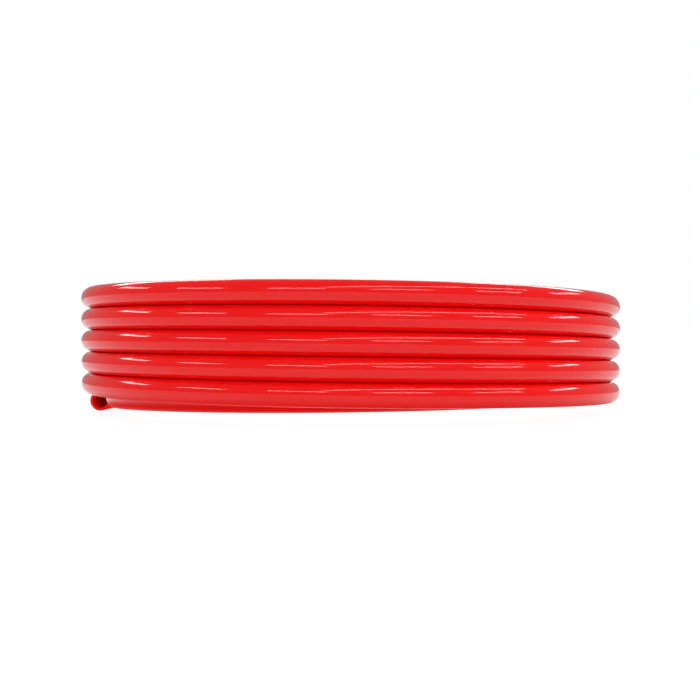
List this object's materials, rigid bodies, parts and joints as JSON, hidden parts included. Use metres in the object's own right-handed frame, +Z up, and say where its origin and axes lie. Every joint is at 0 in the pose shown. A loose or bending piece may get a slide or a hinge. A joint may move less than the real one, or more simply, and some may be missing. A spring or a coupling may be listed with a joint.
{
  "type": "coiled air hose",
  "caption": "Length of bare flexible plastic air hose, wound into a round flat coil in two layers, with both ends cut square and open.",
  "frame": {"origin": "centre of the coil, on the surface it stands on", "axes": "+Z up along the coil's axis; -Y is the coil's front, and the outer free end is at -X, facing the front"},
  "size_m": [0.2096, 0.2092, 0.0486],
  "materials": {
    "hose_red": "glossy"
  },
  "bodies": {
    "root": {"outer_coil": "hose_red", "outer_bottom_turn": "hose_red", "outer_hose_end": "hose_red", "inner_coil": "hose_red", "inner_bottom_turn": "hose_red", "inner_tail": "hose_red", "inner_hose_end": "hose_red", "crossover": "hose_red"}
  },
  "joints": []
}
